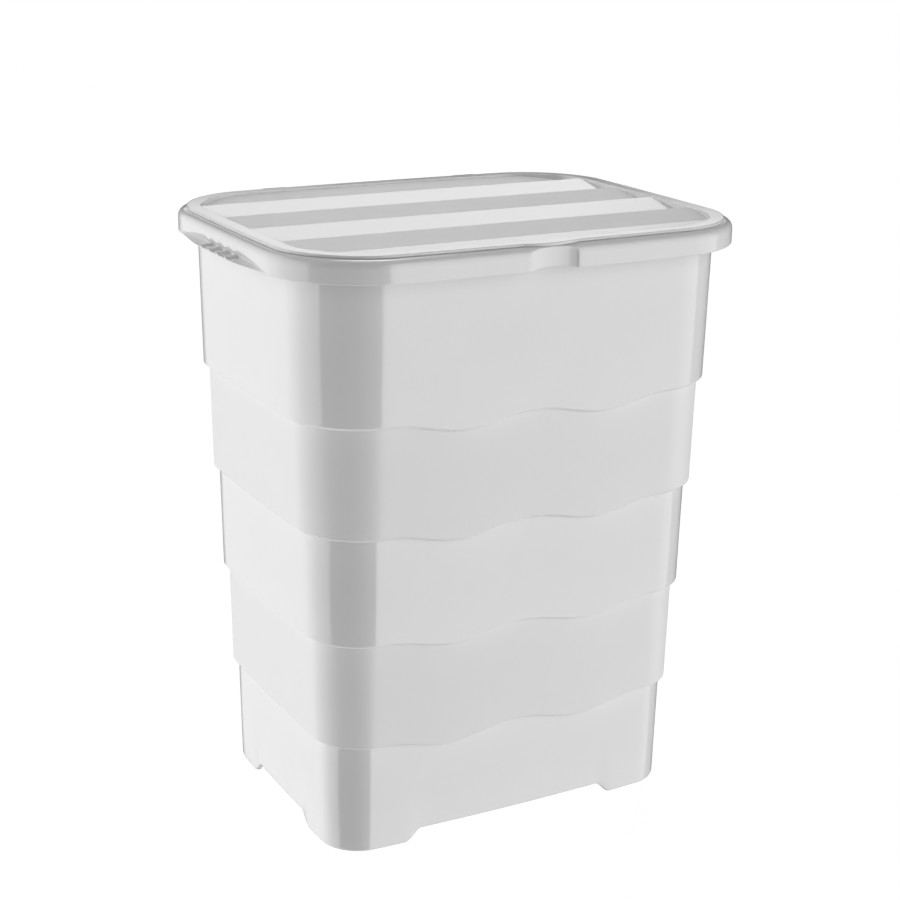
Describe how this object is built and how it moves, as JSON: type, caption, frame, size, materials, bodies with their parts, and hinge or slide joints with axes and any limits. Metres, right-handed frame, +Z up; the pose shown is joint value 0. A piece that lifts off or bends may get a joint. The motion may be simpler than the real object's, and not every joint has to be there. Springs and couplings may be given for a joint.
{
  "type": "laundry hamper with hinged lid",
  "caption": "Tall tapered plastic laundry hamper in stepped, waved bands with feet, a turned-down rim with grips, and a louvred lid hinged at the back.",
  "frame": {"origin": "on the floor under the middle of the whole hamper, hinges included", "axes": "+X to the right along the long front, -Y to the front, +Z up"},
  "size_m": [0.4742, 0.3761, 0.5627],
  "materials": {
    "tub": "white polypropylene, alternately polished and satin bands",
    "lid": "white polypropylene, alternately polished and satin louvres",
    "pin": "plain white moulded plastic"
  },
  "bodies": {
    "tub": {"tub": "tub", "hinge_pin_left": "pin", "hinge_pin_right": "pin"},
    "lid": {"lid": "lid"}
  },
  "joints": [
    {"name": "lid_hinge", "type": "hinge", "parent": "tub", "child": "lid", "pos_m": [0, 0.1829, 0.552], "axis": [-1, 0, 0], "range_deg": [0, 105]}
  ]
}
